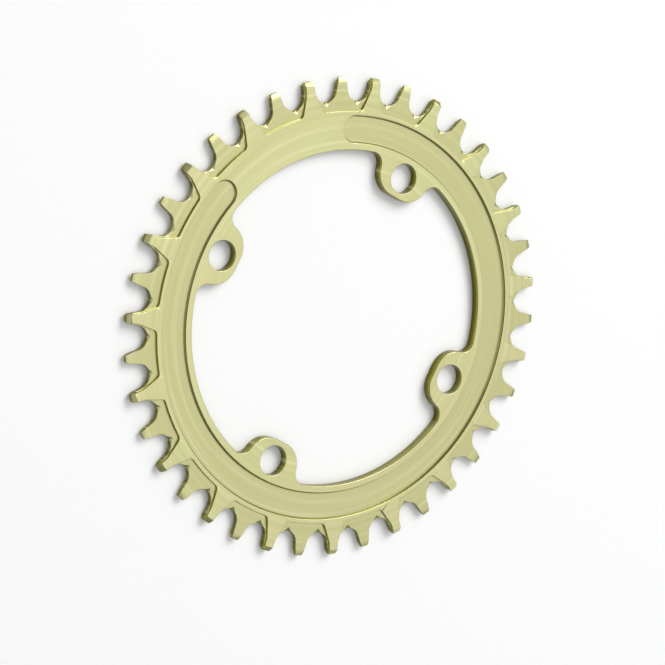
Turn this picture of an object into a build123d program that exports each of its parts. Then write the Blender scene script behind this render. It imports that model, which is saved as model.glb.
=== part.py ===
from build123d import *
import os
from math import acos, asin, atan2, cos, degrees, radians, sin, sqrt

# A narrow-wide chainring for a single-ring bicycle crank: one milled aluminium plate.
# Every second tooth is thick and fills an outer link, the ones between are thin and fit an inner link.
# It lies on its back. Z is the axle's direction, the milled front faces up,
# and the origin is the middle of the bolt circle on the back face. The first wide tooth points along X.

# Driving dimensions, in millimetres and degrees
CHAIN_PITCH = 12.7
TOOTH_COUNT = 38
BOLT_CIRCLE = 104.0
EAR_COUNT = 4
BOLT_HOLE = 10.2
HOLE_CHAMFER = 0.35

PLATE_THICKNESS = 3.5
NARROW_THICKNESS = 1.8
INNER_DIAMETER = 113.5
EDGE_CHAMFER = 0.25

# Tooth outline, shared by both kinds of tooth
SEAT_RADIUS = 4.2
SEAT_RISE = 0.2
TOOTH_HEIGHT = 4.0
TIP_WIDTH = 2.5
SHOULDER_DROP = 2.0
SHOULDER_WIDTH = 3.5

# Bevels that thin the tips, given by their length along the tooth and what they leave of the end face
WIDE_BEVEL = 1.5
WIDE_END = 1.3
NARROW_BEVEL = 1.3
NARROW_END = 1.0

# Relief milled round each narrow tooth, which leaves the raised land of the wide teeth
RELIEF_RIM = 3.1
RELIEF_CORNER = 1.8
LAND_TIP_WIDTH = 2.4
LAND_WAIST_WIDTH = 3.5
LAND_WAIST_DROP = 4.4
LAND_FOOT_WIDTH = 8.2

# V-shaped notch that bevels the bottom of each gullet
NOTCH_WIDTH = 4.0
NOTCH_REACH = 1.3
NOTCH_DEPTH = 0.6

# Bolt ears, which reach inwards from the ring
EAR_REACH = 7.0
EAR_NOSE_WIDTH = 4.4
EAR_CORNER = 8.2
EAR_FILLET = 4.0

# Groove milled round the front, broken by one plain stretch
GROOVE_INNER_RIM = 2.35
GROOVE_WIDTH = 9.15
GROOVE_DEPTH = 0.95
GROOVE_BEVEL = 0.4
PLAIN_MIDDLE = 48.75
PLAIN_ANGLE = 41.3

# Sizes that follow from them
tooth_angle = 360 / TOOTH_COUNT
pitch_radius = CHAIN_PITCH / 2 / sin(radians(tooth_angle / 2))
bolt_radius = BOLT_CIRCLE / 2
inner_radius = INNER_DIAMETER / 2
seat_middle = pitch_radius + SEAT_RISE
root_radius = seat_middle - SEAT_RADIUS
tip_radius = pitch_radius + TOOTH_HEIGHT
clear_radius = tip_radius + CHAIN_PITCH / 4
middle_height = PLATE_THICKNESS / 2
narrow_face = middle_height + NARROW_THICKNESS / 2
relief_radius = root_radius - RELIEF_RIM


def polar(radius, angle):
    """A point at an angle in degrees on a circle about the origin."""
    return Vector(radius * cos(radians(angle)), radius * sin(radians(angle)))


def on_tooth(radius, width, side):
    """A point on a tooth that points along X: its distance out, on one side of the given width."""
    return Vector(radius, side * width / 2)


def bulge(start, end, middle, radius):
    """The point halfway along the short arc from start to end about a middle."""
    return middle + ((start - middle) + (end - middle)).normalized() * radius


def mirrored_front_and_back(cutter):
    """A cutter for the front, with its mirror image for the back."""
    back = mirror(cutter, about=Plane.XY.offset(middle_height))
    return [cutter, back]


# Outline of the toothed rim
def tooth_edges():
    """One tooth along X from its tip to the bottom of the gullet, and that gullet's round seat."""
    tip = [on_tooth(sqrt(tip_radius**2 - (TIP_WIDTH / 2) ** 2), TIP_WIDTH, side) for side in (-1, 1)]
    shoulder = [on_tooth(tip_radius - SHOULDER_DROP, SHOULDER_WIDTH, side) for side in (-1, 1)]
    seat = polar(seat_middle, tooth_angle / 2)
    # The flank runs from the shoulder to the seat's circle, and meets it as a tangent.
    to_shoulder = shoulder[1] - seat
    swing = degrees(acos(SEAT_RADIUS / to_shoulder.length))
    facing = degrees(atan2(to_shoulder.Y, to_shoulder.X))
    left_foot = seat + polar(SEAT_RADIUS, facing - swing)
    right_foot = Vector(left_foot.X, -left_foot.Y)
    next_foot = right_foot.rotate(Axis.Z, tooth_angle)
    return [
        Line(right_foot, shoulder[0]),
        Line(shoulder[0], tip[0]),
        ThreePointArc(tip[0], polar(tip_radius, 0), tip[1]),
        Line(tip[1], shoulder[1]),
        Line(shoulder[1], left_foot),
        ThreePointArc(left_foot, polar(root_radius, tooth_angle / 2), next_foot),
    ]


def rim_outline():
    """The whole toothed outline as a face."""
    edges = []
    for index in range(TOOTH_COUNT):
        edges += [Rot(0, 0, index * tooth_angle) * edge for edge in tooth_edges()]
    return make_face(edges)


# Opening for the crank's spider, with the four ears standing into it
def ear_edges():
    """One ear along X: flat nose, round corners and fillets, then the ring's arc to the next ear."""
    nose_radius = bolt_radius - EAR_REACH
    nose = on_tooth(nose_radius, EAR_NOSE_WIDTH, 1)
    corner = nose + Vector(EAR_CORNER, 0)
    # The fillet's circle touches the corner's circle from outside and the ring's from inside.
    fillet_reach = inner_radius - EAR_FILLET
    spread = EAR_CORNER + EAR_FILLET
    opening = (corner.length**2 + fillet_reach**2 - spread**2) / (2 * corner.length * fillet_reach)
    fillet_angle = degrees(atan2(corner.Y, corner.X) + acos(opening))
    fillet_middle = polar(fillet_reach, fillet_angle)
    towards = (corner - fillet_middle).normalized()
    blend = fillet_middle + towards * EAR_FILLET
    landing = polar(inner_radius, fillet_angle)
    half = [
        ThreePointArc(nose, bulge(nose, blend, corner, EAR_CORNER), blend),
        ThreePointArc(blend, bulge(blend, landing, fillet_middle, EAR_FILLET), landing),
    ]
    other_half = [mirror(edge, about=Plane.XZ) for edge in half]
    ear_angle = 360 / EAR_COUNT
    next_landing = polar(inner_radius, ear_angle - fillet_angle)
    ring_arc = ThreePointArc(landing, polar(inner_radius, ear_angle / 2), next_landing)
    return half + other_half + [Line(Vector(nose.X, -nose.Y), nose), ring_arc]


def spider_opening():
    """The opening inside the ring as a face."""
    edges = []
    for index in range(EAR_COUNT):
        edges += [Rot(0, 0, index * 360 / EAR_COUNT) * edge for edge in ear_edges()]
    return make_face(edges)


# Cutters
def bevel_ring(face_height, bevel, end_thickness):
    """Section of the cone that bevels the tips from a face down to their end face, in the XZ plane."""
    start = tip_radius - bevel
    drop = face_height - middle_height - end_thickness / 2
    low = face_height - drop * (clear_radius - start) / bevel
    corners = [(start, 0, face_height), (clear_radius, 0, face_height), (clear_radius, 0, low)]
    return make_face(Polyline(corners, close=True))


def wide_tip_cutter():
    """Cone all round that bevels the wide teeth from the plate's face."""
    return revolve(bevel_ring(PLATE_THICKNESS, WIDE_BEVEL, WIDE_END), Axis.Z)


def relief_outline():
    """Outline of the relief round a narrow tooth along X, from one wide tooth's land to the next."""
    sides = []
    for side in (-1, 1):
        turn = side * tooth_angle
        tip = on_tooth(clear_radius, LAND_TIP_WIDTH, -side).rotate(Axis.Z, turn)
        waist = on_tooth(tip_radius - LAND_WAIST_DROP, LAND_WAIST_WIDTH, -side).rotate(Axis.Z, turn)
        half_foot = degrees(asin(LAND_FOOT_WIDTH / 2 / relief_radius))
        foot = polar(relief_radius, turn - side * half_foot)
        sides.append((tip, waist, foot))
    (tip_a, waist_a, foot_a), (tip_b, waist_b, foot_b) = sides
    outline = make_face(
        [
            Line(tip_a, waist_a),
            Line(waist_a, foot_a),
            ThreePointArc(foot_a, polar(relief_radius, 0), foot_b),
            Line(foot_b, waist_b),
            Line(waist_b, tip_b),
            Line(tip_b, tip_a),
        ]
    )
    corners = outline.vertices().sort_by(Axis.X)[:2]
    return fillet(corners, RELIEF_CORNER)


def relief_cutter():
    """Relief round one narrow tooth, with the bevel of that tooth's tip."""
    pocket = Pos(0, 0, narrow_face) * extrude(relief_outline(), PLATE_THICKNESS)
    half_angle = tooth_angle / 3
    bevel = revolve(bevel_ring(narrow_face, NARROW_BEVEL, NARROW_END), Axis.Z, 2 * half_angle)
    return pocket + Rot(0, 0, -half_angle) * bevel


def notch_cutter():
    """Square pit, corner inwards, whose two walls bevel the bottom of a gullet along X."""
    slope = atan2(NOTCH_DEPTH, NOTCH_REACH * cos(radians(45)))
    pit = extrude(Rot(0, 0, 45) * Rectangle(NOTCH_WIDTH, NOTCH_WIDTH), -NOTCH_DEPTH, taper=90 - degrees(slope))
    middle = root_radius - NOTCH_REACH + NOTCH_WIDTH / sqrt(2)
    return Pos(middle, 0, narrow_face) * pit


def groove_cutter():
    """Flat-bottomed groove with bevelled feet to its walls, round at both of its ends."""
    half_width = GROOVE_WIDTH / 2
    half_floor = half_width - GROOVE_BEVEL
    middle = inner_radius + GROOVE_INNER_RIM + half_width
    floor = PLATE_THICKNESS - GROOVE_DEPTH
    foot = floor + GROOVE_BEVEL
    half_section = make_face(
        Polyline(
            [
                (middle, 0, floor),
                (middle + half_floor, 0, floor),
                (middle + half_width, 0, foot),
                (middle + half_width, 0, PLATE_THICKNESS),
                (middle, 0, PLATE_THICKNESS),
            ],
            close=True,
        )
    )
    section = half_section + mirror(half_section, about=Plane.YZ.offset(middle))
    # The plain stretch is measured between the round ends, whose middles lie half a width further on.
    half_gap = PLAIN_ANGLE / 2 + degrees(half_width / middle)
    first = Rot(0, 0, PLAIN_MIDDLE + half_gap)
    last = Rot(0, 0, PLAIN_MIDDLE - half_gap)
    run = first * revolve(section, Axis.Z, 360 - 2 * half_gap)
    first_end = first * revolve(half_section, Axis((middle, 0, 0), (0, 0, -1)), 180)
    last_end = last * revolve(half_section, Axis((middle, 0, 0), (0, 0, 1)), 180)
    return [run, first_end, last_end]


# The plate with its openings, their edges broken on both faces
def plate():
    """Toothed plate with the spider opening and the bolt holes."""
    holes = PolarLocations(bolt_radius, EAR_COUNT) * Circle(BOLT_HOLE / 2)
    blank = extrude(rim_outline() - spider_opening() - holes, PLATE_THICKNESS)
    faces = blank.faces().filter_by(Axis.Z).sort_by(Axis.Z)
    hole_edges = []
    opening_edges = []
    for face in (faces[0], faces[-1]):
        wires = face.inner_wires().sort_by(SortBy.LENGTH)
        hole_edges += wires[:-1].edges()
        opening_edges += wires[-1].edges()
    blank = chamfer(hole_edges, HOLE_CHAMFER)
    return chamfer(opening_edges, EDGE_CHAMFER)


# Chainring
def chainring():
    """The finished ring in one piece."""
    wide_teeth_cut = mirrored_front_and_back(wide_tip_cutter())
    reliefs = mirrored_front_and_back(relief_cutter())
    notches = mirrored_front_and_back(notch_cutter())
    relief_places = PolarLocations(0, TOOTH_COUNT // 2, start_angle=tooth_angle)
    gullet_places = PolarLocations(0, TOOTH_COUNT, start_angle=tooth_angle / 2)
    ring = plate()
    ring -= wide_teeth_cut
    ring -= [place * cutter for cutter in reliefs for place in relief_places]
    ring -= [place * cutter for cutter in notches for place in gullet_places]
    ring -= groove_cutter()
    return ring


os.makedirs("parts", exist_ok=True)
export_step(chainring(), "parts/chainring.step")
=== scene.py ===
from math import degrees, pi, radians

import bmesh
import bpy
from mathutils import Matrix, Vector


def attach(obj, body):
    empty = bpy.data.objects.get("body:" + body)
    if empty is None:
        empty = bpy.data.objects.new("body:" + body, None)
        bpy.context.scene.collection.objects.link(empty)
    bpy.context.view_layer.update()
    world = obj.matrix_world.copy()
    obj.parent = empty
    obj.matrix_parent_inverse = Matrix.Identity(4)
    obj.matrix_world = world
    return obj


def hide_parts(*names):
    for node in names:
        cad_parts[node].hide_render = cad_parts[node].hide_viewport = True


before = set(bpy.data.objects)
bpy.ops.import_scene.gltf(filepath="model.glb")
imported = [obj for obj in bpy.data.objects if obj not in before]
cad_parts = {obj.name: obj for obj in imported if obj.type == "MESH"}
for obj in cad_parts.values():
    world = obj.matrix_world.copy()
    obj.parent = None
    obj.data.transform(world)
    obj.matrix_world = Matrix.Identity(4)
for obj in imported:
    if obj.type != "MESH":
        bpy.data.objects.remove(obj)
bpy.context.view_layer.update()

# A narrow-wide chainring that lies on its back, in metres.
# Directions round the ring are given in degrees as the photograph shows them, with 0 to the right
# and 90 upwards, and photo_turn leads from there to the model.
photo_turn = -64.7

white = (1.0, 1.0, 1.0, 1.0)

# Heights over the back face: the milled floors of the front lie between floors_from and floors_to,
# and the shade painted on the walls lightens from the lower wall height to the upper one
back_face = 0.0
front_face = 0.0035
floors_from = 0.0024
floors_to = 0.0027
floors_fade = 0.0004
wall_shade_low = 0.0022
wall_shade_high = 0.0028

# Broken edges: the rounding's width, the share of it that fine edges get, and from how many degrees
# a bend counts as a corner and as a square one
edge_break = 0.00018
fine_edge_share = 0.35
corner_from = 24
square_from = 60


# Maths on sockets
class Wire:
    """A value, colour or vector on its way through a finish."""

    def __init__(self, finish, socket):
        self.finish = finish
        self.socket = socket

    def math(self, operation, *values):
        return self.finish.node("ShaderNodeMath", {"operation": operation}, dict(enumerate(values)))

    def __add__(self, other):
        return self.math("ADD", self, other)

    def __radd__(self, other):
        return self.math("ADD", other, self)

    def __sub__(self, other):
        return self.math("SUBTRACT", self, other)

    def __rsub__(self, other):
        return self.math("SUBTRACT", other, self)

    def __mul__(self, other):
        return self.math("MULTIPLY", self, other)

    def __rmul__(self, other):
        return self.math("MULTIPLY", other, self)

    def __pow__(self, other):
        return self.math("POWER", self, other)

    def between(self, low, high):
        """0 up to low, 1 from high on, smooth in between."""
        settings = {"interpolation_type": "SMOOTHSTEP"}
        limits = {"Value": self, "From Min": low, "From Max": high}
        return self.finish.node("ShaderNodeMapRange", settings, limits)


class Finish:
    """A material, world or lamp finish built node by node."""

    def __init__(self, owner):
        owner.use_nodes = True
        self.tree = owner.node_tree
        self.tree.nodes.clear()

    def node(self, kind, settings=None, inputs=None, output=0):
        """Adds a node, sets it up, feeds its sockets and gives back one of its outputs."""
        node = self.tree.nodes.new(kind)
        for name, value in (settings or {}).items():
            setattr(node, name, value)
        for name, value in (inputs or {}).items():
            if isinstance(value, Wire):
                self.tree.links.new(value.socket, node.inputs[name])
            else:
                node.inputs[name].default_value = value
        return Wire(self, node.outputs[output]) if len(node.outputs) else None

    def blend(self, factor, first, second):
        """The first colour where the factor is 0, the second where it is 1."""
        colours = {0: factor, 6: first, 7: second}
        return self.node("ShaderNodeMix", {"data_type": "RGBA"}, colours, 2)

    def part(self, vector, axis):
        """One of the three numbers in a vector, 0 for X to 2 for Z."""
        return self.node("ShaderNodeSeparateXYZ", {}, {"Vector": vector}, axis)

    def noise(self, vector, scale, detail):
        """Seamless noise round 0.5."""
        pattern = {"Vector": vector, "Scale": scale, "Detail": detail}
        return self.node("ShaderNodeTexNoise", {}, pattern)


def colour(red, green, blue):
    """A colour as seen on screen, from 0 to 255, as linear light."""
    def linear(level):
        level /= 255
        return level / 12.92 if level <= 0.04045 else ((level + 0.055) / 1.055) ** 2.4
    return (linear(red), linear(green), linear(blue), 1.0)


def placed(name, data):
    """A new object in the scene."""
    body = bpy.data.objects.new(name, data)
    bpy.context.scene.collection.objects.link(body)
    return body


# Ring
def lies_at(edge, height):
    """Whether both ends of an edge are at a height."""
    return all(abs(corner.co.z - height) < 1e-6 for corner in edge.verts)


def milled_ring(node):
    """The chainring with every milled edge lightly broken."""
    shape = bmesh.new()
    shape.from_mesh(node.data)
    bmesh.ops.remove_doubles(shape, verts=shape.verts, dist=2e-6)
    bmesh.ops.dissolve_limit(
        shape, angle_limit=radians(0.8), verts=shape.verts, edges=shape.edges
    )
    bmesh.ops.triangulate(shape, faces=shape.faces)
    for face in shape.faces:
        face.smooth = True
    # Square edges on the plate's two faces are rounded most, other outer edges less, and the feet
    # of the walls stay sharp.
    rounding = shape.edges.layers.float.new("bevel_weight_edge")
    for edge in shape.edges:
        turn = degrees(edge.calc_face_angle_signed(0.0))
        if turn > corner_from:
            square = turn > square_from and (lies_at(edge, back_face) or lies_at(edge, front_face))
            edge[rounding] = 1.0 if square else fine_edge_share
        edge.smooth = turn > -corner_from
    mesh = bpy.data.meshes.new("milled_ring")
    shape.to_mesh(mesh)
    shape.free()
    ring = placed("milled_ring", mesh)
    broken = ring.modifiers.new("broken_edges", "BEVEL")
    broken.width = edge_break
    broken.segments = 2
    broken.limit_method = "WEIGHT"
    broken.use_clamp_overlap = False
    broken.miter_outer = "MITER_SHARP"
    flats = ring.modifiers.new("flat_faces_stay_flat", "WEIGHTED_NORMAL")
    flats.mode = "FACE_AREA"
    flats.weight = 100
    flats.keep_sharp = True
    return ring


# Finish of the ring
def gold_anodised():
    """Pale gold anodised aluminium: satin, with faint turning marks, a slight drift in tint,
    painted shade on the walls and painted sheen in streaks round the ring.
    """
    material = bpy.data.materials.new("gold_anodised_aluminium")
    finish = Finish(material)
    place = finish.node("ShaderNodeTexCoord", output=3)
    x, y, z = (finish.part(place, axis) for axis in range(3))
    radius = (x * x + y * y) ** 0.5
    lean = finish.part(finish.node("ShaderNodeTexCoord", output=1), 2)

    # Tint drifts slowly between a warmer and a greener gold.
    drift = finish.noise(place, 22.0, 2.0)
    tint = finish.blend(drift.between(0.35, 0.65), colour(211, 206, 147), colour(206, 207, 145))

    # The floors of the groove and the reliefs are a little darker than the faces beside them.
    over = z.between(floors_from - floors_fade, floors_from)
    under = 1 - z.between(floors_to, floors_to + floors_fade)
    floors = over * under
    tint = finish.blend(floors, tint, colour(199, 197, 137))

    # Painted shade: the walls get a dark olive that stands in for the shade they lie in, darkest
    # low down.
    faces = (lean * lean).between(0.2, 0.7)
    height = z.between(wall_shade_low, wall_shade_high)
    wall_shade_colour = finish.blend(height, colour(110, 106, 20), colour(150, 144, 38))
    tint = finish.blend(faces, wall_shade_colour, tint)

    # Painted sheen: soft streaks run round the ring, lighter and darker than the rest, standing in
    # for the turned surface's reflections.
    sheen_sweep = {"X": radius * 620.0, "Y": x * 12.0, "Z": y * 12.0}
    sheen_streaks = finish.noise(finish.node("ShaderNodeCombineXYZ", {}, sheen_sweep), 1.0, 3.0)
    tint = finish.blend(sheen_streaks.between(0.5, 0.8) * 0.5, tint, colour(234, 232, 182))
    tint = finish.blend((1 - sheen_streaks).between(0.5, 0.8) * 0.5, tint, colour(186, 184, 124))

    # Turning marks are rings about the axle, so they change with the distance from it.
    marks = {"X": radius * 2600.0, "Y": x * 12.0, "Z": y * 12.0}
    turned = finish.noise(finish.node("ShaderNodeCombineXYZ", {}, marks), 1.0, 2.0)
    grain = finish.noise(place, 2400.0, 1.0)
    rough = 0.13 + faces * 0.18 + turned * 0.08 + grain * 0.05
    marked = {"Strength": 0.12, "Distance": 0.00002, "Height": turned * 0.6 + grain * 0.4}
    metal = {
        "Base Color": tint,
        "Metallic": 1.0,
        "Roughness": rough,
        "Normal": finish.node("ShaderNodeBump", {}, marked),
        "Coat Weight": 0.15 + faces * 0.85,
        "Coat Roughness": 0.14,
        "Coat IOR": 1.6,
    }
    surface = finish.node("ShaderNodeBsdfPrincipled", {}, metal)
    finish.node("ShaderNodeOutputMaterial", {}, {"Surface": surface})
    return material


# Studio
def towards(turn, height, reach):
    """A place seen from the ring: turn and height in degrees, reach in metres."""
    round_axle = Matrix.Rotation(radians(turn + photo_turn), 3, "Z")
    upwards = Matrix.Rotation(radians(-height), 3, "Y")
    return round_axle @ upwards @ Vector((reach, 0, 0))


def softbox(name, turn, height, reach, width, depth, level):
    """A flat lamp that faces the ring. Its level is its face's brightness, where 1 is white."""
    lamp = bpy.data.lights.new(name, "AREA")
    lamp.shape = "RECTANGLE"
    lamp.size = width
    lamp.size_y = depth
    lamp.energy = level * pi * width * depth
    body = placed(name, lamp)
    body.location = towards(turn, height, reach)
    body.rotation_euler = body.location.to_track_quat("Z", "Y").to_euler()


def floor():
    """A plain pale table top."""
    shape = bmesh.new()
    bmesh.ops.create_grid(shape, x_segments=1, y_segments=1, size=6.0)
    mesh = bpy.data.meshes.new("table_top")
    shape.to_mesh(mesh)
    shape.free()
    material = bpy.data.materials.new("table_paper")
    finish = Finish(material)
    paper = finish.node("ShaderNodeBsdfDiffuse", {}, {"Color": white})
    finish.node("ShaderNodeOutputMaterial", {}, {"Surface": paper})
    mesh.materials.append(material)
    return placed("table_top", mesh)


def room(level):
    """Even pale light from all round."""
    world = bpy.data.worlds.new("studio")
    bpy.context.scene.world = world
    finish = Finish(world)
    light = finish.node("ShaderNodeBackground", {}, {"Color": white, "Strength": level})
    finish.node("ShaderNodeOutputWorld", {}, {"Surface": light})


def camera():
    """The photograph's camera: a long lens that looks down on the ring."""
    lens = bpy.data.cameras.new("photo_camera")
    lens.lens = 182.70
    lens.clip_start = 0.05
    lens.clip_end = 50.0
    body = placed("photo_camera", lens)
    body.location = (-0.10821, 0.63042, 0.92893)
    aim = Vector((-0.00493, 0.00006, 0.0035))
    facing = (body.location - aim).to_track_quat("Z", "Y").to_matrix()
    body.rotation_euler = (facing @ Matrix.Rotation(radians(107.16), 3, "Z")).to_euler()
    bpy.context.scene.camera = body


ring = milled_ring(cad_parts["chainring"])
ring.data.materials.append(gold_anodised())
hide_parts("chainring")
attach(ring, "root")

floor()
room(0.22)
softbox("face_light", -15.6, 55.0, 2.4, 2.6, 2.6, 0.71)
softbox("upper_light", 57.0, 44.0, 3.0, 1.8, 1.8, 5.8)
softbox("top_light", 164.0, 86.0, 2.0, 1.8, 1.8, 0.65)
softbox("left_light", 192.0, 50.0, 2.2, 2.6, 1.4, 0.4)
camera()
bpy.context.scene.view_settings.view_transform = "Standard"
